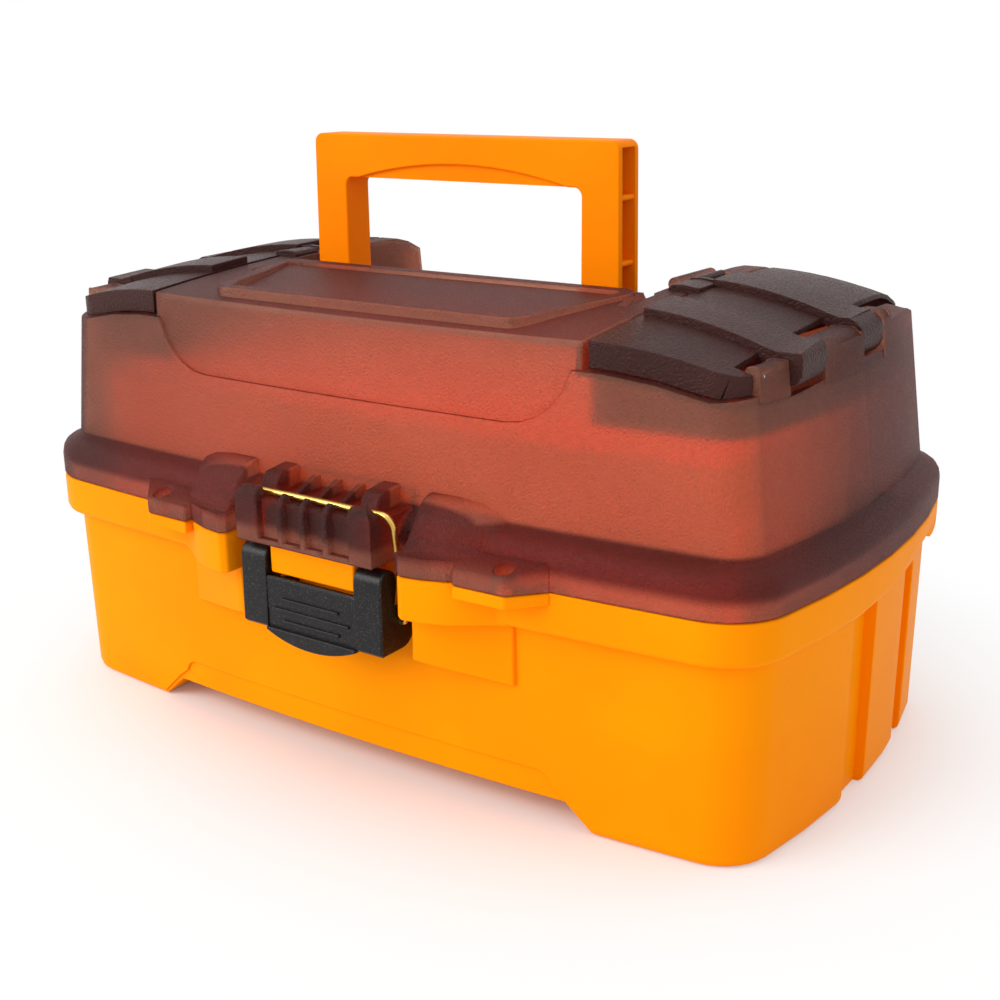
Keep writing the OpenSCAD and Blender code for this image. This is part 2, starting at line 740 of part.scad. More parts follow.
module carry_handle() color(ORANGE) {
    difference() {
        union() {
            difference() {
                translate([0, handle_y[1], 0]) rotate([90, 0, 0])
                    linear_extrude(handle_y[1] - handle_y[0]) handle_outline();
                // the channel, open outwards
                both_sides() {
                    block(handle_half_w - handle_leg + handle_skin, 100,
                          handle_y[0] + handle_skin, handle_y[1] - handle_skin,
                          handle_pivot.y - 20, handle_top_z - handle_skin);
                }
                block(-handle_half_w - 1, handle_half_w + 1, handle_y[0] + handle_skin,
                      handle_y[1] - handle_skin, handle_arch[1] + 4.6, handle_top_z - handle_skin);
            }
            // ribs and pivot hubs inside the channel
            both_sides() {
                for (z = [219, 247]) block(handle_half_w - handle_leg + 1, handle_half_w - 0.8,
                                           handle_y[0] + 1, handle_y[1] - 1, z - 1.2, z + 1.2);
                rod_x(handle_half_w - handle_leg + 1, handle_half_w, handle_pivot.x, handle_pivot.y, 6);
            }
            for (x = [-50 : 25 : 50]) block(x - 1, x + 1, handle_y[0] + 1, handle_y[1] - 1,
                                           handle_arch[1] + 3, handle_top_z - 1);
        }
        both_sides() {
            rod_x(handle_half_w - handle_leg - 1, 90, handle_pivot.x, handle_pivot.y, 2.5 + fit);
            // rounded foot of each leg
            difference() {
                block(50, 100, -30, 10, handle_pivot.y - 20, handle_pivot.y);
                rod_x(40, 110, handle_pivot.x, handle_pivot.y, 8.5);
            }
        }
        // the grip's front lower edge is scooped for the fingers
        prism_y(handle_y[0] - 1, handle_y[0] + handle_skin - 0.8,
                concat([[-handle_arch[0], handle_arch[1] - 2]],
                [for (i = [0 : 12]) let (x = -handle_arch[0] + i * handle_arch[0] / 6)
                    [x, handle_arch[2] - (handle_arch[2] - handle_arch[1]) * pow(x / handle_arch[0], 2)]],
                [[handle_arch[0], handle_arch[1] - 2]]));
    }
}

module handle_pivot_pins() color("silver") both_sides() {
    rod_x(handle_half_w - handle_leg + 1, ear_x[1], handle_pivot.x, handle_pivot.y, 2.5);
}

// ---- draw latch ----
lever_half = 39.2;
lever_arm_in = 24.6;
lever_front = -130.5;
lever_plate = 3;
lever_low = 67.6;
bail_pivot = [-118, 80.8];
bail_leg_x = 42.4;

module lever_side(x0, x1) {
    prism_x(x0, x1, concat(
        [[lever_front, lever_low + 1.4], [lever_front + 1.4, lever_low], [-119, lever_low]],
        [for (a = [270 : 15 : 360]) [-116 + 7.8 * cos(a), lever_low + 7.8 + 7.8 * sin(a)]],
        [[-108.2, 83.4], [-112, 86.4], [-120.4, 88]],
        [for (a = [0 : 20 : 180]) [lever_pivot.x + 5.6 * cos(a) - 0.7, lever_pivot.y + 5.6 * sin(a)]]));
}

module latch_lever() color([0.05, 0.05, 0.055]) {
    difference() {
        union() {
            both_sides() {
                lever_side(lever_arm_in, lever_half);
            }
            block(-lever_arm_in - 1, lever_arm_in + 1, lever_front + 0.8, lever_front + lever_plate + 0.8,
                  lever_low, 92);
            // finger tab with an arc-shaped lip
            intersection() {
                translate([0, lever_front + 3.2, lever_low + 54]) rotate([90, 0, 0])
                    cylinder(r = 60, h = 4, $fn = 128);
                block(-25, 25, -140, -110, 55, lever_low + 1);
            }
            // raised grip lines
            for (line = [[82.5, 16], [77.5, 21.5], [72.4, 16]])
                block(-line[1], line[1], lever_front - 0.1, lever_front + 2, line[0] - 0.7, line[0] + 0.7);
        }
        // hollow the arms behind their face, and drill both pivots
        both_sides() {
            block(lever_arm_in + 2.2, lever_half - 2.6, lever_front + 3, -100, 60, 94);
            rod_x(lever_half - 4, lever_half + 4, bail_pivot.x, bail_pivot.y, bail_r + fit);
        }
        rod_x(-lever_half + 2, lever_half - 2, lever_pivot.x, lever_pivot.y, lever_pin_r + fit);
    }
}

module latch_hinge_pin() color("silver")
    rod_x(-lever_half + 2.4, lever_half - 2.4, lever_pivot.x, lever_pivot.y, lever_pin_r);

// Round wire bent through a right angle: the bend lies in the bail's own plane
module latch_bail() color([0.78, 0.62, 0.2]) {
    rise = bail_bar - bail_pivot;
    tall = norm(rise);
    lean = atan2(-rise.x, rise.y);
    bend = 6;
    translate([0, bail_pivot.x, bail_pivot.y]) rotate([lean, 0, 0]) {
        both_sides() {
            translate([bail_leg_x, 0, 1.9]) cylinder(r = bail_r, h = tall - bend - 1.9);
            translate([bail_leg_x - bend, 0, tall - bend]) rotate([90, 0, 0])
                rotate_extrude(angle = 90) translate([bend, 0]) circle(r = bail_r);
            translate([bail_leg_x - 1.9, 0, 1.9]) rotate([90, 0, 0]) mirror([0, 1, 0])
                rotate_extrude(angle = 90) translate([1.9, 0]) circle(r = bail_r);
            translate([lever_half - 2.4, 0, 0]) rotate([0, 90, 0])
                cylinder(r = bail_r, h = bail_leg_x - 1.9 - lever_half + 2.4);
        }
        translate([-bail_leg_x + bend, 0, tall]) rotate([0, 90, 0])
            cylinder(r = bail_r, h = 2 * (bail_leg_x - bend));
    }
}

// ---- trays ----
upper_z = [113, 158];
lower_z = [71, 110];
tray_r = 13;
upper_row_y = -38;
lower_row_y = -42;
upper_cells = [-114, -57, 0, 57, 114];
lower_cells = [-102, -34, 34, 102];
divider_t = 1.4;

module rounded(x0, x1, y0, y1, r) {
    translate([x0 + r, y0]) square([x1 - x0 - 2 * r, y1 - y0]);
    translate([x0, y0 + r]) square([x1 - x0, y1 - y0 - 2 * r]);
    for (x = [x0 + r, x1 - r], y = [y0 + r, y1 - r]) translate([x, y]) circle(r = r);
}

// A divider slot is a pair of thin ribs on a wall
module slot_ribs(x, y, z0, z1, side) {
    for (d = [-1, 1]) block(x + d * 1.5 - 0.5, x + d * 1.5 + 0.5,
                            min(y, y + side * 1.6), max(y, y + side * 1.6), z0, z1);
}

module tray_tub(front, z, rows, cells) {
    difference() {
        union() {
            translate([0, 0, z[0]]) linear_extrude(z[1] - z[0])
                rounded(-tray_half_l + 1, tray_half_l - 1, front + 1, tray_back - 1, tray_r - 1);
            translate([0, 0, z[1] - 2.4]) linear_extrude(2.4)
                rounded(-tray_half_l, tray_half_l, front, tray_back, tray_r);
        }
        translate([0, 0, z[0] + tray_wall]) linear_extrude(z[1])
            rounded(-tray_half_l + 1 + tray_wall, tray_half_l - 1 - tray_wall, front + 1 + tray_wall,
                    tray_back - 1 - tray_wall, tray_r - 1 - tray_wall);
    }
    // fixed walls along the tray, with slots for the loose dividers
    for (y = rows) {
        block(-tray_half_l + 2, tray_half_l - 2, y - 0.8, y + 0.8, z[0] + 1, z[1] - 4);
        for (x = cells, side = [-1, 1])
            slot_ribs(x, y + side * 0.7, z[0] + 1, z[1] - 6, side);
    }
    for (x = cells) {
        slot_ribs(x, front + 2.7, z[0] + 1, z[1] - 6, 1);
        slot_ribs(x, tray_back - 2.7, z[0] + 1, z[1] - 6, -1);
    }
}

module tray_dividers(front, z, rows, cells) {
    stations = concat([front + 2.8], rows, [tray_back - 2.8]);
    for (x = cells, k = [0 : len(stations) - 2]) {
        y0 = stations[k] + (k > 0 ? 0.8 : 0) + 0.4;
        y1 = stations[k + 1] - (k < len(stations) - 2 ? 0.8 : 0) - 0.4;
        block(x - divider_t / 2, x + divider_t / 2, y0, y1, z[0] + tray_wall + 0.2, z[1] - 6.6);
    }
}

// Round-ended plate that carries a pivot below the upper tray
module hanging_lug(pivot) {
    translate([lug_x[0], 0, 0]) rotate([90, 0, 90]) linear_extrude(lug_x[1] - lug_x[0]) {
        translate([pivot.x, pivot.y]) circle(r = lug_r);
        translate([pivot.x - lug_r, pivot.y]) square([2 * lug_r, 132 - pivot.y]);
    }
    block(tray_half_l - 3, lug_x[1], pivot.x - lug_r, pivot.x + lug_r, upper_z[0], 132);
}

module upper_tray() color(ORANGE) {
    difference() {
        union() {
            tray_tub(-tray_front, upper_z, [upper_row_y], upper_cells);
            both_sides() {
                hanging_lug(upper_rear);
                hanging_lug(upper_front);
            }
        }
        both_sides() {
            rod_x(160, 180, upper_rear.x, upper_rear.y, pin_r + fit);
            rod_x(160, 180, upper_front.x, upper_front.y, pin_r + fit);
        }
    }
}

module lower_tray() color(ORANGE) {
    difference() {
        union() {
            tray_tub(-tray_front - 3, lower_z, [lower_row_y], lower_cells);
            both_sides() {
                rod_x(tray_half_l - 2.6, lug_x[1], lower_rear.x, lower_rear.y, lug_r - 1);
                rod_x(tray_half_l - 2.6, lug_x[1], lower_front.x, lower_front.y, lug_r - 1);
            }
        }
        both_sides() {
            rod_x(150, 180, lower_rear.x, lower_rear.y, pin_r + fit);
            rod_x(150, 180, lower_front.x, lower_front.y, pin_r + fit);
        }
    }
}

module upper_tray_dividers() color(ORANGE)
    tray_dividers(-tray_front, upper_z, [upper_row_y], upper_cells);
module lower_tray_dividers() color(ORANGE)
    tray_dividers(-tray_front - 3, lower_z, [lower_row_y], lower_cells);

module top_bin_dividers() color(SMOKE) both_sides() {
    for (y = [-32, 26]) block(bin_x[0] + 1, bin_x[1] - 6.6, y - 0.8, y + 0.8,
                              top_bin_floor_z + 0.2, 184);
}

// ---- tray arms, lid links and their rivets ----
module plate_arm(x, p, q, width) {
    d = q - p;
    a = atan2(d.y, d.x);
    translate([x[0], p.x, p.y]) rotate([90, 0, 90]) rotate([0, 0, a]) linear_extrude(x[1] - x[0]) {
        circle(r = width / 2);
        translate([norm(d), 0]) circle(r = width / 2);
        translate([0, -width / 2]) square([norm(d), width]);
    }
}

module arm(p, mid, q) {
    difference() {
        union() {
            plate_arm([arm_x[0] + 0.8, arm_x[1] - 0.8], p, q, 12);
            // raised border and eyes
            difference() {
                plate_arm(arm_x, p, q, 12);
                plate_arm([arm_x[0] - 1, arm_x[1] + 1], p + (q - p) * 0.09, p + (q - p) * 0.41, 8);
                plate_arm([arm_x[0] - 1, arm_x[1] + 1], p + (q - p) * 0.59, p + (q - p) * 0.91, 8);
            }
            for (e = [p, mid, q]) rod_x(arm_x[0], arm_x[1], e.x, e.y, 5);
        }
        for (e = [p, mid, q]) rod_x(arm_x[0] - 1, arm_x[1] + 1, e.x, e.y, pin_r + fit);
    }
}

module lid_link() {
    difference() {
        plate_arm(link_x, upper_rear, link_pin, 11);
        for (e = [upper_rear, link_pin]) rod_x(link_x[0] - 1, link_x[1] + 1, e.x, e.y, pin_r + fit);
    }
}

module right_rear_arm() color(DARK) arm(rear_pivot, lower_rear, upper_rear);
module right_front_arm() color(DARK) arm(front_pivot, lower_front, upper_front);
module left_rear_arm() color(DARK) mirror([1, 0, 0]) arm(rear_pivot, lower_rear, upper_rear);
module left_front_arm() color(DARK) mirror([1, 0, 0]) arm(front_pivot, lower_front, upper_front);
module right_lid_link() color(DARK) lid_link();
module left_lid_link() color(DARK) mirror([1, 0, 0]) lid_link();

// A shank with a round head at one or both ends
module rivet(x0, x1, p, head_in, head_out) {
    rod_x(x0, x1, p.x, p.y, pin_r);
    if (head_in) rod_x(x0 - rivet_t, x0, p.x, p.y, rivet_r);
    if (head_out) rod_x(x1, x1 + rivet_t, p.x, p.y, rivet_r);
}

module base_arm_pins() color("silver") both_sides() {
    rivet(arm_x[0] - 0.1, 189.5, rear_pivot, true, false);
    rivet(arm_x[0] - 0.1, 189.5, front_pivot, true, false);
}

module lower_tray_rivets() color("silver") both_sides() {
    rivet(tray_half_l - 3.4, arm_x[1] + 0.1, lower_rear, true, false);
    rivet(tray_half_l - 3.4, arm_x[1] + 0.1, lower_front, true, false);
}

module upper_tray_rivets() color("silver") both_sides() {
    rivet(lug_x[0] + 0.2, link_x[1] + 0.1, upper_rear, false, true);
    rivet(lug_x[0] + 0.2, arm_x[1] + 0.1, upper_front, false, true);
}

module lid_link_pins() color("silver") both_sides()
    rivet(link_x[0] - 0.1, 189.5, link_pin, true, false);

module lid_hinge_pins() color("silver") both_sides()
    rod_x(76, 144, hinge.x, hinge.y, 1.5);

base_tub();
lid_shell();
left_top_door();
right_top_door();
carry_handle();
latch_lever();
latch_bail();
upper_tray();
lower_tray();
upper_tray_dividers();
lower_tray_dividers();
top_bin_dividers();
left_rear_arm();
right_rear_arm();
left_front_arm();
right_front_arm();
left_lid_link();
right_lid_link();
lid_hinge_pins();
left_door_pins();
right_door_pins();
handle_pivot_pins();
latch_hinge_pin();
base_arm_pins();
lower_tray_rivets();
upper_tray_rivets();
lid_link_pins();
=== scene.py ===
"""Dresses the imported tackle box: rounded mouldings, grain, tint, metal and a plain studio."""

import json
import logging
import math
from dataclasses import dataclass, field
from enum import Enum
from functools import wraps
from typing import Callable, Iterable

import bmesh
import bpy
from mathutils import Matrix, Vector

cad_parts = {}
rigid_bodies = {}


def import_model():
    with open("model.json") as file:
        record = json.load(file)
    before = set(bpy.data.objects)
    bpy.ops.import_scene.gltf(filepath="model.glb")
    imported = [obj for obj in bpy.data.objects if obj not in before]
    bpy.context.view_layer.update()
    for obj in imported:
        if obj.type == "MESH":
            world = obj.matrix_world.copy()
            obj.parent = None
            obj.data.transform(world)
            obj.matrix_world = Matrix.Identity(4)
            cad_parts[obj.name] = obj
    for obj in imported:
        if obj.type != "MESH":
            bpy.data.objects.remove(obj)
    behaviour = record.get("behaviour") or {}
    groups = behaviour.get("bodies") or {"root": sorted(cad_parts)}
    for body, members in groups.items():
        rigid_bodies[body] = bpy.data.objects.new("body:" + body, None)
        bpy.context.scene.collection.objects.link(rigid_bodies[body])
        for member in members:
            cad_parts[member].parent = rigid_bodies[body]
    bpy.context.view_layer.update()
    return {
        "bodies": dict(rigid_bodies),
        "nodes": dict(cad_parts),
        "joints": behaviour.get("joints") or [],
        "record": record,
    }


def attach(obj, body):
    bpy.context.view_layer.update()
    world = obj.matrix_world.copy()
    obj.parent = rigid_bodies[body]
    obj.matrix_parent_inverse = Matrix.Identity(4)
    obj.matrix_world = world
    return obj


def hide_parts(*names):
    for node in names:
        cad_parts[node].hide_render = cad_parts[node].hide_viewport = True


log = logging.getLogger("tackle_box")

MM = 0.001


class Grain(Enum):
    """How the tool that moulded a surface was textured."""

    MATT = "matt"
    LEATHER = "leather"
    SPARKLE = "sparkle"


# ---------------------------------------------------------------------------
# Placing shader nodes
# ---------------------------------------------------------------------------


def plug(tree: bpy.types.NodeTree, socket: bpy.types.NodeSocket, value: object) -> None:
    """Links an input to another node's output, or gives it a fixed value.

    Args:
        tree: The node tree.
        socket: The input.
        value: An output, or a plain value.
    """
    if isinstance(value, bpy.types.NodeSocket):
        tree.links.new(value, socket)
    else:
        socket.default_value = value


def node(tree: bpy.types.NodeTree, kind: str, **values: object) -> bpy.types.Node:
    """Adds a node; a value named like an input goes on that socket, any other is a property.

    Args:
        tree: The node tree to add to.
        kind: The node's type.
        **values: Node properties, then outputs or fixed values for its inputs, by name.

    Returns:
        The new node.
    """
    made = tree.nodes.new(kind)
    for name, value in values.items():
        if name[0].isupper():
            plug(tree, made.inputs[name], value)
        else:
            setattr(made, name, value)
    return made


def maths(tree: bpy.types.NodeTree, operation: str, *terms: object) -> bpy.types.NodeSocket:
    """Adds a maths node.

    Args:
        tree: The node tree to add to.
        operation: What it does.
        *terms: Outputs or plain numbers, in the order of the node's inputs.

    Returns:
        The result.
    """
    made = node(tree, "ShaderNodeMath", operation=operation)
    for socket, term in zip(made.inputs, terms):
        plug(tree, socket, term)
    return made.outputs[0]


def ramp(
    tree: bpy.types.NodeTree,
    value: bpy.types.NodeSocket,
    span: tuple[float, float] = (0.0, 1.0),
    onto: tuple[float, float] = (0.0, 1.0),
    smooth: bool = False,
) -> bpy.types.NodeSocket:
    """Maps a range of a value onto another range, and holds it at both ends.

    Args:
        tree: The node tree to add to.
        value: The value.
        span: The range that is mapped.
        onto: What the ends of that range become.
        smooth: Whether the change eases in and out.

    Returns:
        The mapped value.
    """
    made = node(tree, "ShaderNodeMapRange", interpolation_type="SMOOTHSTEP" if smooth else "LINEAR")
    plug(tree, made.inputs["Value"], value)
    for label, number in zip(("From Min", "From Max", "To Min", "To Max"), (*span, *onto)):
        plug(tree, made.inputs[label], number)
    return made.outputs["Result"]


def blend(
    tree: bpy.types.NodeTree, share: bpy.types.NodeSocket, first: object, second: object
) -> bpy.types.NodeSocket:
    """Mixes two colours.

    Args:
        tree: The node tree to add to.
        share: Share of the second colour.
        first: A colour, or an output that gives one.
        second: A colour, or an output that gives one.

    Returns:
        The mixed colour.
    """
    made = node(tree, "ShaderNodeMix", data_type="RGBA", Factor=share, A=first, B=second)
    return made.outputs["Result"]


def linear(red: int, green: int, blue: int) -> tuple[float, float, float, float]:
    """Turns a display colour of 0 to 255 into Blender's linear colour.

    Args:
        red: Red, 0 to 255.
        green: Green, 0 to 255.
        blue: Blue, 0 to 255.

    Returns:
        The linear colour with an alpha of 1.
    """

    def one(value: int) -> float:
        """Turns one channel.

        Args:
            value: The channel, 0 to 255.

        Returns:
            Its linear value.
        """
        share = value / 255
        return share / 12.92 if share <= 0.04045 else ((share + 0.055) / 1.055) ** 2.4

    return one(red), one(green), one(blue), 1.0


# ---------------------------------------------------------------------------
# Shader effects that several finishes share
# ---------------------------------------------------------------------------


def built_once(
    make: Callable[["Effects"], bpy.types.NodeTree],
) -> Callable[["Effects"], bpy.types.NodeTree]:
    """Lets an effect be built when it is first asked for, and handed out again after that.

    Args:
        make: The method that builds the effect's group.

    Returns:
        The method that hands the group out.
    """

    @wraps(make)
    def hand_out(effects: "Effects") -> bpy.types.NodeTree:
        """Builds the group if it isn't there yet.

        Args:
            effects: The effects that hold it.

        Returns:
            The group.
        """
        if make.__name__ not in effects.groups:
            effects.groups[make.__name__] = make(effects)
        return effects.groups[make.__name__]

    return hand_out


class Effects:
    """The shader node groups that finishes share.

    Attributes:
        crease_wander: How far the leather's creases wander, in cells.
        crease_half: Half width of a crease, in cells.
        fine_share: Share of fine grain in the leather.
        glint_level: Level over which a pit of the sparkle catches the light, shown as a painted
            glint.
        cloud_range: Range of the drift's noise that is spread out.
        skirt_depth: Distance from the lid's middle plane at which it stands out, in millimetres.
        skirt_top: Height at which the walls end and the roll begins, in millimetres.
        skirt_rim: Height over which the mask comes in above the rim, in millimetres.
        groups: The groups built so far.
    """

    crease_wander = 1.05
    crease_half = 0.32
    fine_share = 0.35
    glint_level = 0.86
    cloud_range = (0.3, 0.7)
    skirt_depth = (111.5, 114.5)
    skirt_top = (129.6, 127.2)
    skirt_rim = (111.0, 117.0)

    def __init__(self) -> None:
        """Starts with no groups built."""
        self.groups: dict[str, bpy.types.NodeTree] = {}

    def _open(
        self, name: str, inputs: dict[str, float], outputs: Iterable[str]
    ) -> tuple[bpy.types.NodeTree, bpy.types.Node, bpy.types.Node]:
        """Makes an empty group that takes coordinates and gives masks or heights.

        Args:
            name: The group's name.
            inputs: Each further input and its default.
            outputs: The outputs.

        Returns:
            The group, its input node and its output node.
        """
        tree = bpy.data.node_groups.new(name, "ShaderNodeTree")
        tree.interface.new_socket("Vector", in_out="INPUT", socket_type="NodeSocketVector")
        for label, value in inputs.items():
            socket = tree.interface.new_socket(label, in_out="INPUT", socket_type="NodeSocketFloat")
            socket.default_value = value
        for label in outputs:
            tree.interface.new_socket(label, in_out="OUTPUT", socket_type="NodeSocketFloat")
        return tree, tree.nodes.new("NodeGroupInput"), tree.nodes.new("NodeGroupOutput")

    @built_once
    def leather(self) -> bpy.types.NodeTree:
        """Leather grain: wandering creases between small pillows.

        Returns:
            The node group.
        """
        tree, start, end = self._open("leather_grain", {"Scale": 520.0}, ("Height",))
        place = start.outputs["Vector"]
        wander = node(
            tree, "ShaderNodeTexNoise", Vector=place, Scale=260.0, Detail=3.0, Roughness=0.6
        )
        scaled = node(tree, "ShaderNodeVectorMath", operation="SCALE", Scale=start.outputs["Scale"])
        plug(tree, scaled.inputs[0], place)
        bent = node(tree, "ShaderNodeVectorMath", operation="MULTIPLY_ADD")
        terms = (wander.outputs["Color"], (self.crease_wander,) * 3, scaled.outputs[0])
        for socket, term in zip(bent.inputs, terms):
            plug(tree, socket, term)
        cells = node(
            tree,
            "ShaderNodeTexVoronoi",
            feature="DISTANCE_TO_EDGE",
            Vector=bent.outputs[0],
            Scale=1.0,
        )
        pillow = ramp(tree, cells.outputs["Distance"], (0.0, self.crease_half), smooth=True)
        fine = node(tree, "ShaderNodeTexNoise", Vector=place, Scale=1700.0, Detail=2.0)
        height = maths(tree, "MULTIPLY_ADD", fine.outputs["Fac"], self.fine_share, pillow)
        plug(tree, end.inputs["Height"], height)
        return tree

    @built_once
    def matt(self) -> bpy.types.NodeTree:
        """Fine matt tooling texture: an even peppering of shallow bumps.

        Returns:
            The node group.
        """
        tree, start, end = self._open("matt_texture", {"Scale": 1500.0}, ("Height",))
        pepper = node(
            tree,
            "ShaderNodeTexNoise",
            Vector=start.outputs["Vector"],
            Scale=start.outputs["Scale"],
            Detail=3.0,
            Roughness=0.55,
        )
        plug(tree, end.inputs["Height"], pepper.outputs["Fac"])
        return tree

    @built_once
    def sparkle(self) -> bpy.types.NodeTree:
        """Spark-eroded texture: tiny pits, a few of which catch the light as painted glints.

        Returns:
            The node group.
        """
        tree, start, end = self._open("sparkle_texture", {"Scale": 1900.0}, ("Height", "Glint"))
        pits = node(
            tree,
            "ShaderNodeTexVoronoi",
            feature="F1",
            Vector=start.outputs["Vector"],
            Scale=start.outputs["Scale"],
        )
        level = node(tree, "ShaderNodeSeparateColor", Color=pits.outputs["Color"]).outputs["Red"]
        plug(tree, end.inputs["Height"], pits.outputs["Distance"])
        plug(tree, end.inputs["Glint"], ramp(tree, level, (self.glint_level, 1.0)))
        return tree

    @built_once
    def drift(self) -> bpy.types.NodeTree:
        """Slow change of shade, as pigment, flow of the plastic or dulling gives it.

        Returns:
            The node group.
        """
        tree, start, end = self._open("pigment_drift", {"Scale": 14.0}, ("Mask",))
        cloud = node(
            tree,
            "ShaderNodeTexNoise",
            Vector=start.outputs["Vector"],
            Scale=start.outputs["Scale"],
            Detail=2.5,
            Roughness=0.5,
        )
        mask = ramp(tree, cloud.outputs["Fac"], self.cloud_range, smooth=True)
        plug(tree, end.inputs["Mask"], mask)
        return tree

    @built_once
    def skirt(self) -> bpy.types.NodeTree:
        """Marks the lid's thick parts, the roll over the rim and what stands out from the walls,
        which take a deeper colour that is partly painted shade.

        Returns:
            The node group.
        """
        tree, start, end = self._open("thick_shaded_skirt", {}, ("Mask",))
        place = node(tree, "ShaderNodeSeparateXYZ", Vector=start.outputs["Vector"])
        depth, height = maths(tree, "ABSOLUTE", place.outputs["Y"]), place.outputs["Z"]
        stands_out, is_roll, covers_rim = (
            ramp(tree, value, (low * MM, high * MM), smooth=True)
            for value, (low, high) in (
                (depth, self.skirt_depth),
                (height, self.skirt_top),
                (height, self.skirt_rim),
            )
        )
        # mask of the thick parts, which also carries painted shade
        thick = maths(tree, "MAXIMUM", stands_out, is_roll)
        plug(tree, end.inputs["Mask"], maths(tree, "MULTIPLY", thick, covers_rim))
        return tree


# ---------------------------------------------------------------------------
# Finishes
# ---------------------------------------------------------------------------


@dataclass(frozen=True)
class Finish:
    """A surface whose colour drifts, and whose texture gives it gloss and relief.

    Attributes:
        name: The material's name.
        shade: Display colour.
        deep: Display colour at the other end of its drift.
        relief: Depth of the texture in metres.
        roughness: Gloss halfway between crests and hollows.
    """

    name: str
    shade: tuple[int, int, int]
    deep: tuple[int, int, int]
    relief: float
    roughness: float

    def _surface(
        self, effects: Effects, drift: float, group: bpy.types.NodeTree, scale: float
    ) -> tuple[bpy.types.Material, bpy.types.NodeSocket, bpy.types.NodeSocket, bpy.types.Node]:
        """Starts the material and lays the texture on it.

        Args:
            effects: The shared shader groups.
            drift: Scale of the drift of its colour.
            group: The texture's group.
            scale: Texture cells per metre.

        Returns:
            The material, the object's coordinates, the drifting colour and the texture's node.
        """
        material = bpy.data.materials.new(self.name)
        material.use_nodes = True
        tree = material.node_tree
        place = node(tree, "ShaderNodeTexCoord").outputs["Object"]
        cloud = node(
            tree, "ShaderNodeGroup", node_tree=effects.drift(), Vector=place, Scale=drift
        )
        colour = blend(tree, cloud.outputs["Mask"], linear(*self.shade), linear(*self.deep))
        texture = node(tree, "ShaderNodeGroup", node_tree=group, Vector=place, Scale=scale)
        height = texture.outputs["Height"]
        shader = tree.nodes["Principled BSDF"]
        plug(tree, shader.inputs["Roughness"], ramp(tree, height, onto=self._gloss()))
        bump = node(tree, "ShaderNodeBump", Strength=1.0, Distance=self.relief, Height=height)
        plug(tree, shader.inputs["Normal"], bump.outputs["Normal"])
        return material, place, colour, texture

    def _gloss(self) -> tuple[float, float]:
        """Chooses the roughness of hollows and of crests.

        Returns:
            The roughness at height 0 and at height 1.
        """
        return self.roughness, self.roughness


@dataclass(frozen=True)
class Moulding(Finish):
    """A plastic moulding's finish, opaque or smoke-tinted.

    Attributes:
        grain: The tool's texture.
        grain_scale: Texture cells per metre.
        clarity: Share of the light that passes through.
        sheen: Strength of the surface's reflection, 0.5 for bare plastic.
        bend: Refractive index.
        painted_glow: Painted light: emission in the plastic's own colour that stands in for light
            reaching it through the lid.
        dense_and_shade: Display colour where light crosses more of a clear plastic, partly painted
            shade, or None.
        drift_scale: Scale of the drift of its colour.
        gloss_spread: How far the roughness of crests and hollows is from the middle.
        glint_colour: Display colour of the pits that catch the light, a painted glint.
        slant_shade_range: How far a surface turns away as its colour deepens, partly as painted
            shade, 0 to 1.
    """

    relief: float = 0.00004
    roughness: float = 0.42
    grain: Grain = Grain.MATT
    grain_scale: float = 1500.0
    clarity: float = 0.0
    sheen: float = 0.5
    bend: float = 1.5
    painted_glow: float = 0.0
    dense_and_shade: tuple[int, int, int] | None = None

    drift_scale = 14.0
    gloss_spread = 0.07
    glint_colour = (62, 54, 56)
    slant_shade_range = (0.22, 0.75)

    def build(self, effects: Effects) -> bpy.types.Material:
        """Makes the material.

        Args:
            effects: The shared shader groups.

        Returns:
            The finished material.
        """
        groups = {
            Grain.MATT: effects.matt,
            Grain.LEATHER: effects.leather,
            Grain.SPARKLE: effects.sparkle,
        }
        material, place, colour, texture = self._surface(
            effects, self.drift_scale, groups[self.grain](), self.grain_scale
        )
        tree = material.node_tree
        if self.dense_and_shade:
            colour = self._deepened_and_shaded(tree, effects, place, colour)
        if self.grain is Grain.SPARKLE:
            # painted glints on the pits that catch the light
            colour = blend(tree, texture.outputs["Glint"], colour, linear(*self.glint_colour))
        shader = tree.nodes["Principled BSDF"]
        for label, value in (
            ("Base Color", colour),
            ("IOR", self.bend),
            # emission is painted glow where a finish sets one
            ("Emission Color", linear(*self.deep)),
            ("Emission Strength", self.painted_glow),
            ("Specular IOR Level", self.sheen),
            ("Transmission Weight", self.clarity),
        ):
            plug(tree, shader.inputs[label], value)
        return material

    def _gloss(self) -> tuple[float, float]:
        """Makes hollows glossier than crests.

        Returns:
            The roughness at height 0 and at height 1.
        """
        return self.roughness - self.gloss_spread, self.roughness + self.gloss_spread

    def _deepened_and_shaded(
        self,
        tree: bpy.types.NodeTree,
        effects: Effects,
        place: bpy.types.NodeSocket,
        colour: bpy.types.NodeSocket,
    ) -> bpy.types.NodeSocket:
        """Deepens a clear plastic where it is thick and where light crosses it at a slant, partly
        as the tint of a longer path and partly as painted shade.

        Args:
            tree: The material's node tree.
            effects: The shared shader groups.
            place: The object's coordinates.
            colour: The plastic's colour.

        Returns:
            The deepened colour.
        """
        facing = node(tree, "ShaderNodeLayerWeight").outputs["Facing"]
        slant = ramp(tree, facing, self.slant_shade_range, smooth=True)
        skirt = node(tree, "ShaderNodeGroup", node_tree=effects.skirt(), Vector=place)
        share = maths(tree, "MAXIMUM", slant, skirt.outputs["Mask"])
        return blend(tree, share, colour, linear(*self.dense_and_shade))


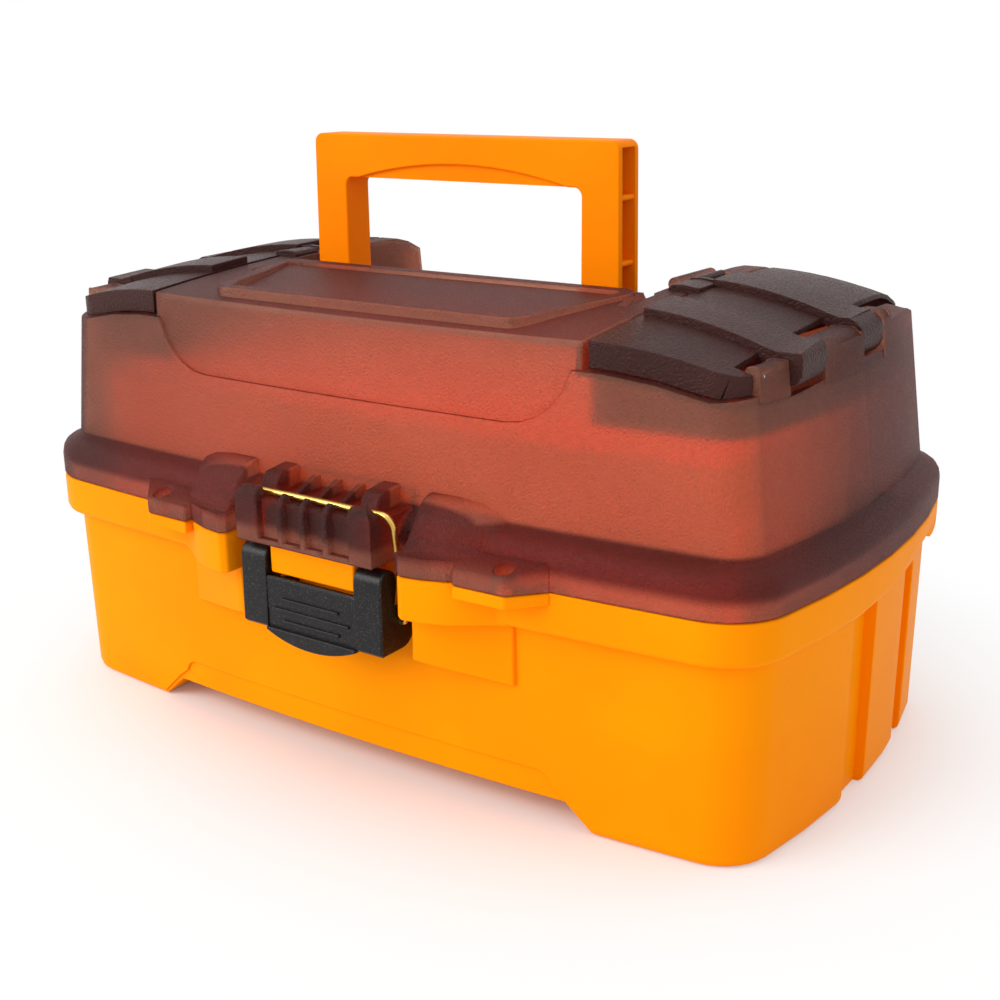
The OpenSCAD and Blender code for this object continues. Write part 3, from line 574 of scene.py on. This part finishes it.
@dataclass(frozen=True)
class DrawnMetal(Finish):
    """Drawn wire and rod: its colour drifts where it has dulled, and it is finely marked.

    Attributes:
        dulling_scale: Scale of the drift of its colour.
        mark_scale: Marks per metre.
        brighter: How far the marks' roughness goes below the middle.
        duller: How far the marks' roughness goes above the middle.
    """

    relief: float = 0.000006
    roughness: float = 0.24

    dulling_scale = 90.0
    mark_scale = 2600.0
    brighter = 0.06
    duller = 0.1

    def build(self, effects: Effects) -> bpy.types.Material:
        """Makes the material.

        Args:
            effects: The shared shader groups.

        Returns:
            The finished material.
        """
        material, _, colour, _ = self._surface(
            effects, self.dulling_scale, effects.matt(), self.mark_scale
        )
        tree = material.node_tree
        shader = tree.nodes["Principled BSDF"]
        plug(tree, shader.inputs["Base Color"], colour)
        plug(tree, shader.inputs["Metallic"], 1.0)
        return material

    def _gloss(self) -> tuple[float, float]:
        """Makes some marks brighter and others duller.

        Returns:
            The roughness at height 0 and at height 1.
        """
        return self.roughness - self.brighter, self.roughness + self.duller


@dataclass
class Finishes:
    """Every finish on the box, built when first asked for.

    Attributes:
        effects: The shader groups that they share.
    """

    effects: Effects = field(default_factory=Effects)
    _made: dict[str, bpy.types.Material] = field(default_factory=dict)

    CASE = Moulding(
        "case_orange", (255, 151, 0), (253, 143, 0), relief=0.00003, sheen=0.06, bend=1.3
    )
    # The trays' emission is painted light that stands in for light reaching them through the lid.
    TRAY = Moulding(
        "tray_orange", (255, 138, 8), (252, 130, 6), relief=0.00002, sheen=0.1, bend=1.3, painted_glow=0.32
    )
    GRIP = Moulding(
        "grip_orange", (255, 139, 0), (252, 131, 0), relief=0.00003, sheen=0.06, bend=1.3
    )
    LID = Moulding(
        "lid_smoke",
        (216, 156, 130),
        (210, 148, 123),
        relief=0.00028,
        roughness=0.52,
        grain=Grain.LEATHER,
        grain_scale=540.0,
        clarity=0.84,
        sheen=0.35,
        bend=1.22,
        # deeper colour: partly thick tinted plastic, partly painted shade
        dense_and_shade=(118, 72, 68),
    )
    DOOR = Moulding(
        "door_smoke",
        (82, 50, 46),
        (72, 44, 41),
        relief=0.0002,
        roughness=0.36,
        grain=Grain.LEATHER,
        grain_scale=520.0,
        clarity=0.4,
        sheen=0.12,
        bend=1.25,
    )
    DIVIDER = Moulding(
        "divider_smoke", (200, 140, 130), (194, 134, 124), clarity=0.95, bend=1.2
    )
    LEVER = Moulding(
        "lever_black",
        (10, 7, 8),
        (7, 5, 6),
        roughness=0.36,
        grain=Grain.SPARKLE,
        grain_scale=2300.0,
        sheen=0.3,
    )
    ARM = Moulding("arm_dark", (58, 52, 52), (50, 45, 45), relief=0.00003, roughness=0.45)
    BRASS = DrawnMetal("brass_wire", (226, 190, 104), (196, 152, 74))
    STEEL = DrawnMetal("steel_pin", (206, 207, 210), (168, 170, 174), roughness=0.28)

    def get(self, finish: Moulding | DrawnMetal) -> bpy.types.Material:
        """Gives the material of a finish.

        Args:
            finish: One of the finishes above.

        Returns:
            The finish's material.
        """
        if finish.name not in self._made:
            self._made[finish.name] = finish.build(self.effects)
        return self._made[finish.name]


# ---------------------------------------------------------------------------
# Turning CAD solids into mouldings with rounded edges
# ---------------------------------------------------------------------------


@dataclass
class Workshop:
    """Makes the dressed pieces from the frame's solids.

    Attributes:
        frame: The loaded frame.
        finishes: The box's finishes.
        weld: Corners nearer than this are one, in metres.
        flat_angle: Facets that meet at less than this are one face.
        sharp_angle: Edges over this are rounded and kept sharp in the shading.
        least_width: Narrower roundings are left out, in metres.
        sweeps: Times that the widths of edges in one line are evened out.
        segments: Facets across a rounding.
        broad_area: Faces over this are broad, in square metres.
        broad_apart: Broad faces whose normals' cosine is under this face different ways.
        crisp_angle: Edges over this are kept sharp where such faces meet.
        shading_weight: How far broad faces decide the shading of their edges, 0 to 100.
    """

    frame: dict
    finishes: Finishes

    weld = 0.000004
    flat_angle = math.radians(0.25)
    sharp_angle = math.radians(34)
    least_width = 0.00004
    sweeps = 30
    segments = 3
    broad_area = 6e-6
    broad_apart = 0.6
    crisp_angle = math.radians(12)
    shading_weight = 60

    def moulded(
        self,
        node_name: str,
        body: str,
        slot: str,
        finish: Moulding | DrawnMetal,
        radius: float,
    ) -> bpy.types.Object:
        """Makes a rounded copy of a CAD node that stands for it.

        Args:
            node_name: The CAD node.
            body: The body that it rides on.
            slot: The record's material slot; not used.
            finish: The finish that it wears.
            radius: Largest radius of its edges in metres.

        Returns:
            The dressed piece.
        """
        piece = bpy.data.objects.new(f"{node_name}_moulding", self._marked_mesh(node_name, radius))
        bpy.context.scene.collection.objects.link(piece)
        if radius > 0:
            self._round_edges(piece, radius)
        mesh = piece.data
        mesh.set_sharp_from_angle(angle=self.sharp_angle)
        self._crisp_ends(mesh)
        mesh.materials.clear()
        mesh.materials.append(self.finishes.get(finish))
        even = piece.modifiers.new("even_shading", "WEIGHTED_NORMAL")
        even.keep_sharp = True
        even.weight = self.shading_weight
        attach(piece, body)
        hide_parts(node_name)
        log.info("%s: %d faces, on %s", piece.name, len(mesh.polygons), body)
        return piece

    def _round_edges(self, piece: bpy.types.Object, radius: float) -> None:
        """Rounds the marked edges of a piece and keeps the result as its mesh.

        Args:
            piece: The piece whose edges are marked.
            radius: Largest radius in metres.
        """
        bevel = piece.modifiers.new("edge_radius", "BEVEL")
        bevel.limit_method = "WEIGHT"
        bevel.width = radius
        bevel.segments = self.segments
        bevel.use_clamp_overlap = False
        bevel.miter_outer = "MITER_ARC"
        shape = piece.evaluated_get(bpy.context.evaluated_depsgraph_get())
        mesh = bpy.data.meshes.new_from_object(shape)
        mesh.name = piece.name
        piece.modifiers.clear()
        piece.data = mesh

    def _marked_mesh(self, node_name: str, radius: float) -> bpy.types.Mesh:
        """Copies a node's mesh, merges its flat facets and marks the edges to round.

        Args:
            node_name: The CAD node.
            radius: Largest radius of its edges in metres.

        Returns:
            The new mesh.
        """
        form = bmesh.new()
        form.from_mesh(self.frame["nodes"][node_name].data)
        bmesh.ops.remove_doubles(form, verts=form.verts, dist=self.weld)
        bmesh.ops.dissolve_limit(
            form, angle_limit=self.flat_angle, verts=form.verts, edges=form.edges
        )
        weights = form.edges.layers.float.new("bevel_weight_edge")
        form.normal_update()
        if radius > 0:
            for edge, width in self._widths(form, radius).items():
                edge[weights] = width / radius
        for face in form.faces:
            face.smooth = True
        mesh = bpy.data.meshes.new(f"{node_name}_moulding")
        form.to_mesh(mesh)
        form.free()
        return mesh

    def _widths(self, form: bmesh.types.BMesh, radius: float) -> dict[bmesh.types.BMEdge, float]:
        """Chooses how far each sharp outer edge is rounded.

        Args:
            form: The mesh, with its normals up to date.
            radius: Largest radius in metres.

        Returns:
            The width of each edge that is rounded.
        """
        widths = {}
        for edge in form.edges:
            if len(edge.link_faces) == 2 and edge.is_convex:
                if edge.calc_face_angle(0.0) > self.sharp_angle:
                    widths[edge] = min(radius, *(room(loop) for loop in edge.link_loops))
        pairs = [pair for edge in widths for pair in runs_on(edge, widths)]
        for _ in range(self.sweeps):
            for edge, other, slack in pairs:
                widths[edge] = min(widths[edge], widths[other] + slack)
        return {edge: width for edge, width in widths.items() if width > self.least_width}

    def _crisp_ends(self, mesh: bpy.types.Mesh) -> None:
        """Keeps the shading of broad faces apart where a rounded edge runs out between them.

        Args:
            mesh: The rounded mesh, with its sharp edges marked.
        """
        form = bmesh.new()
        form.from_mesh(mesh)
        form.normal_update()
        for vert in form.verts:
            broad = [face.normal for face in vert.link_faces if face.calc_area() > self.broad_area]
            if any(one.dot(two) < self.broad_apart for one in broad for two in broad):
                for edge in vert.link_edges:
                    if len(edge.link_faces) == 2 and edge.calc_face_angle(0.0) > self.crisp_angle:
                        edge.smooth = False
        form.to_mesh(mesh)
        form.free()


NEARLY_STRAIGHT = math.radians(130)
PROBES = (0.08, 0.5, 0.92)  # shares of an edge's length at which the room beside it is measured
TOUCHING = 1e-7  # metres; what crosses nearer than this is the edge itself
ROOM_SHARE = 0.42  # share of the free room that a rounding takes
TAPER_SHARE = 0.4  # share of an edge's length over which its rounding may widen
FAR = 1.0  # metres; more room than any face of the box has


def room(loop: bmesh.types.BMLoop) -> float:
    """How far a face leaves room for rounding one of its edges.

    Args:
        loop: The face's corner that starts the edge.

    Returns:
        The room in metres.
    """
    edge, face, start = loop.edge, loop.face, loop.vert.co
    span = edge.calc_length()
    along = (edge.other_vert(loop.vert).co - start).normalized()
    inward = face.normal.cross(along)
    least = FAR
    for corner in face.loops:
        low, high = corner.vert.co - start, corner.link_loop_next.vert.co - start
        if corner is loop or corner.link_loop_next is loop or corner is loop.link_loop_next:
            other = corner.edge
            hub = loop.vert if corner.link_loop_next is loop else loop.link_loop_next.vert
            if corner is not loop:
                opening = direction(other, hub).angle(direction(edge, hub), 0.0)
                if opening < NEARLY_STRAIGHT:
                    least = min(least, other.calc_length() * math.sin(min(opening, math.pi / 2)))
            continue
        for share in PROBES:
            place = share * span
            first, last = low.dot(along) - place, high.dot(along) - place
            if first * last < 0:
                mix = first / (first - last)
                depth = (low + (high - low) * mix).dot(inward)
                if depth > TOUCHING:
                    least = min(least, depth)
    return ROOM_SHARE * least


def direction(edge: bmesh.types.BMEdge, hub: bmesh.types.BMVert) -> Vector:
    """The direction of an edge away from one of its ends.

    Args:
        edge: The edge.
        hub: The end.

    Returns:
        A vector from that end to the other.
    """
    return edge.other_vert(hub).co - hub.co


def runs_on(
    edge: bmesh.types.BMEdge, chosen: dict[bmesh.types.BMEdge, float]
) -> list[tuple[bmesh.types.BMEdge, bmesh.types.BMEdge, float]]:
    """Finds the rounded edges that carry an edge on nearly straight.

    Args:
        edge: The edge.
        chosen: Every rounded edge.

    Returns:
        The edge, its follower and how much wider the edge may be than that follower.
    """
    found = []
    for hub in edge.verts:
        for other in hub.link_edges:
            if other is not edge and other in chosen:
                opening = direction(edge, hub).angle(direction(other, hub), 0.0)
                if opening > NEARLY_STRAIGHT:
                    reach = TAPER_SHARE * min(edge.calc_length(), other.calc_length())
                    found.append((edge, other, reach * math.sin(opening)))
    return found


# ---------------------------------------------------------------------------
# Sub-assemblies
# ---------------------------------------------------------------------------


@dataclass
class SubAssembly:
    """Pieces that belong together.

    Attributes:
        shop: The workshop that makes them.
        edge: Largest edge radius of the main mouldings in metres.
        pin_edge: Largest edge radius of pins in metres.
    """

    shop: Workshop

    edge = 1.0 * MM
    pin_edge = 0.3 * MM

    def build(self) -> None:
        """Dresses the pieces."""
        raise NotImplementedError


class Tub(SubAssembly):
    """The orange base."""

    def build(self) -> None:
        """Dresses the tub and the pins that it holds."""
        shop, kit = self.shop, self.shop.finishes
        shop.moulded("base_tub", "base", "orange_case", kit.CASE, self.edge)
        for pins in ("base_arm_pins", "lid_hinge_pins", "latch_hinge_pin"):
            shop.moulded(pins, "base", "steel_pin", kit.STEEL, self.pin_edge)


class Lid(SubAssembly):
    """The smoke-tinted lid with its pins and the dividers of its top compartments.

    Attributes:
        divider_edge: Largest edge radius of the dividers in metres.
    """

    edge = 1.1 * MM
    divider_edge = 0.4 * MM

    def build(self) -> None:
        """Dresses the shell, its dividers and the pins that it holds."""
        shop, kit = self.shop, self.shop.finishes
        shop.moulded("lid_shell", "lid", "smoke_lid", kit.LID, self.edge)
        shop.moulded(
            "top_bin_dividers", "lid", "smoke_divider", kit.DIVIDER, self.divider_edge
        )
        for pins in ("lid_link_pins", "handle_pivot_pins", "left_door_pins", "right_door_pins"):
            shop.moulded(pins, "lid", "steel_pin", kit.STEEL, self.pin_edge)


class TopDoors(SubAssembly):
    """The two doors over the lid's end compartments."""

    edge = 0.6 * MM

    def build(self) -> None:
        """Dresses both doors."""
        for side in ("left", "right"):
            self.shop.moulded(
                f"{side}_top_door", f"{side}_door", "smoke_door", self.shop.finishes.DOOR, self.edge
            )


class Handle(SubAssembly):
    """The folding carrying handle."""

    def build(self) -> None:
        """Dresses the handle."""
        self.shop.moulded(
            "carry_handle", "carry_handle", "orange_handle", self.shop.finishes.GRIP, self.edge
        )


class DrawLatch(SubAssembly):
    """The lever and its wire bail, whose wire is round and keeps its mesh."""

    edge = 1.2 * MM

    def build(self) -> None:
        """Dresses the lever and the bail."""
        shop, kit = self.shop, self.shop.finishes
        shop.moulded("latch_lever", "latch_lever", "black_lever", kit.LEVER, self.edge)
        shop.moulded("latch_bail", "latch_bail", "brass_wire", kit.BRASS, 0.0)


class TrayLinkage(SubAssembly):
    """Both trays with their dividers, arms, links and rivets.

    Attributes:
        divider_edge: Largest edge radius of the dividers in metres.
        rivet_edge: Largest edge radius of the rivets in metres.
        arm_edge: Largest edge radius of arms and links in metres.
    """

    edge = 0.6 * MM
    divider_edge = 0.3 * MM
    rivet_edge = 0.4 * MM
    arm_edge = 0.5 * MM

    def build(self) -> None:
        """Dresses the trays and everything that carries them."""
        shop, kit = self.shop, self.shop.finishes
        for level in ("upper", "lower"):
            tray = f"{level}_tray"
            shop.moulded(tray, tray, "orange_tray", kit.TRAY, self.edge)
            shop.moulded(
                f"{tray}_dividers", tray, "orange_divider", kit.TRAY, self.divider_edge
            )
            shop.moulded(f"{tray}_rivets", tray, "steel_pin", kit.STEEL, self.rivet_edge)
        for side in ("left", "right"):
            for bar in ("rear_arm", "front_arm", "lid_link"):
                shop.moulded(f"{side}_{bar}", f"{bar}s", "dark_arm", kit.ARM, self.arm_edge)


# ---------------------------------------------------------------------------
# Studio
# ---------------------------------------------------------------------------


@dataclass(frozen=True)
class Lamp:
    """A soft square lamp aimed at the box.

    Attributes:
        name: Its name.
        place: Where it hangs, in metres.
        size: Its side in metres.
        power: Its power in watts.
        aim: The point that it is aimed at.
    """

    name: str
    place: tuple[float, float, float]
    size: float
    power: float
    aim: tuple[float, float, float] = (0.0, 0.0, 0.12)

    def hang(self) -> None:
        """Adds the lamp to the scene."""
        data = bpy.data.lights.new(self.name, "AREA")
        data.shape = "SQUARE"
        data.size = self.size
        data.energy = self.power
        lamp = bpy.data.objects.new(self.name, data)
        place = Vector(self.place)
        turn = (Vector(self.aim) - place).to_track_quat("-Z", "Y").to_matrix().to_4x4()
        lamp.matrix_world = Matrix.Translation(place) @ turn
        bpy.context.scene.collection.objects.link(lamp)


@dataclass
class Studio:
    """Camera, soft lamps, white surroundings and a pale floor.

    Attributes:
        azimuth: Direction from which the camera looks, from the front towards the right.
        elevation: How far it looks down.
        roll: How far it is turned about its own line of sight.
        eye: Where it stands, in metres.
        lens: Its focal length in millimetres.
        sensor: Width of its picture in millimetres.
        nearest: Nearest distance that it shows, in metres.
        lamps: The lamps.
        surround: Strength of the light from all round, beside the 1 that is seen.
        floor_half: Half the floor's side in metres.
        floor_drop: How far the floor lies under the box's feet, in metres.
        floor_tiles: Faces along each side of the floor.
        shadow_reach: Distances from the middle between which the floor clears to white.
        paper: The floor's grey, 1 for white.
        paper_roughness: The floor's roughness.
    """

    azimuth: float = math.radians(34.6)
    elevation: float = math.radians(17.36)
    roll: float = math.radians(-0.65)
    eye: tuple[float, float, float] = (0.3866, -0.5470, 0.3051)
    lens: float = 51.11
    sensor: float = 36.0
    nearest: float = 0.05
    lamps: tuple[Lamp, ...] = (
        Lamp("key_lamp", (-1.0, -1.6, 1.05), 1.5, 28.0),
        Lamp("fill_lamp", (1.7, -0.7, 1.0), 1.5, 3.0),
        Lamp("top_lamp", (0.1, 0.3, 2.0), 1.6, 9.0),
    )
    surround: float = 0.66
    floor_half: float = 4.0
    floor_drop: float = 0.0002
    floor_tiles: int = 8
    shadow_reach: tuple[float, float] = (0.12, 0.34)
    paper: float = 0.94
    paper_roughness: float = 0.9

    def build(self) -> None:
        """Sets up the whole studio."""
        self._camera()
        self._world()
        for lamp in self.lamps:
            lamp.hang()
        self._floor()
        bpy.context.scene.view_settings.view_transform = "Standard"

    def _camera(self) -> None:
        """Places the camera where the photograph was taken from."""
        back = Vector((
            math.sin(self.azimuth) * math.cos(self.elevation),
            -math.cos(self.azimuth) * math.cos(self.elevation),
            math.sin(self.elevation),
        ))
        right = Vector((0, 0, 1)).cross(back).normalized()
        above = back.cross(right)
        turn = Matrix.Rotation(self.roll, 3, "Z")
        axes = Matrix((right, above, back)).transposed() @ turn
        camera = bpy.data.objects.new("studio_camera", bpy.data.cameras.new("studio_camera"))
        camera.data.lens = self.lens
        camera.data.sensor_width = self.sensor
        camera.data.clip_start = self.nearest
        camera.matrix_world = Matrix.Translation(Vector(self.eye)) @ axes.to_4x4()
        bpy.context.scene.collection.objects.link(camera)
        bpy.context.scene.camera = camera

    def _world(self) -> None:
        """White surroundings, seen as pure white behind the box."""
        world = bpy.data.worlds.new("studio_world")
        world.use_nodes = True
        tree = world.node_tree
        background = tree.nodes["Background"]
        plug(tree, background.inputs["Color"], (1, 1, 1, 1))
        level = ramp(tree, self._seen(tree), onto=(self.surround, 1.0))
        plug(tree, background.inputs["Strength"], level)
        bpy.context.scene.world = world

    def _seen(self, tree: bpy.types.NodeTree) -> bpy.types.NodeSocket:
        """Marks the rays by which the surroundings are looked at, also in metal and through glass.

        Args:
            tree: The node tree to add to.

        Returns:
            A socket that is 1 for those rays and 0 for the light that falls on the box.
        """
        path = node(tree, "ShaderNodeLightPath")
        found = path.outputs["Is Camera Ray"]
        for ray in ("Is Glossy Ray", "Is Transmission Ray"):
            found = maths(tree, "MAXIMUM", found, path.outputs[ray])
        return found

    def _floor(self) -> None:
        """Lays a pale floor that keeps the box's shadow and clears to white away from it."""
        form = bmesh.new()
        tiles = self.floor_tiles
        bmesh.ops.create_grid(form, x_segments=tiles, y_segments=tiles, size=self.floor_half)
        mesh = bpy.data.meshes.new("studio_floor")
        form.to_mesh(mesh)
        form.free()
        mesh.materials.append(self._paper())
        floor = bpy.data.objects.new("studio_floor", mesh)
        floor.location.z = -self.floor_drop
        bpy.context.scene.collection.objects.link(floor)

    def _paper(self) -> bpy.types.Material:
        """Makes the floor's material.

        Returns:
            Matt paper that is seen as pure white beyond the shadow.
        """
        material = bpy.data.materials.new("studio_paper")
        material.use_nodes = True
        tree = material.node_tree
        shader = tree.nodes["Principled BSDF"]
        plug(tree, shader.inputs["Base Color"], (self.paper, self.paper, self.paper, 1))
        plug(tree, shader.inputs["Roughness"], self.paper_roughness)
        plug(tree, shader.inputs["Specular IOR Level"], 0.0)
        place = node(tree, "ShaderNodeTexCoord").outputs["Object"]
        away = node(tree, "ShaderNodeVectorMath", operation="LENGTH", Vector=place)
        beyond = ramp(tree, away.outputs["Value"], self.shadow_reach, smooth=True)
        mix = node(tree, "ShaderNodeMixShader")
        white = node(tree, "ShaderNodeEmission", Strength=1.0)
        share = maths(tree, "MULTIPLY", beyond, self._seen(tree))
        for socket, term in zip(mix.inputs, (share, shader.outputs[0], white.outputs[0])):
            plug(tree, socket, term)
        plug(tree, tree.nodes["Material Output"].inputs["Surface"], mix.outputs[0])
        return material


def main() -> None:
    """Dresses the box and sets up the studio."""
    logging.basicConfig(level=logging.INFO, format="%(name)s: %(message)s")
    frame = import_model()
    shop = Workshop(frame, Finishes())
    for part in (Tub, Lid, TopDoors, Handle, DrawLatch, TrayLinkage):
        part(shop).build()
        log.info("%s done", part.__name__)
    Studio().build()


if __name__ == "__main__":
    main()
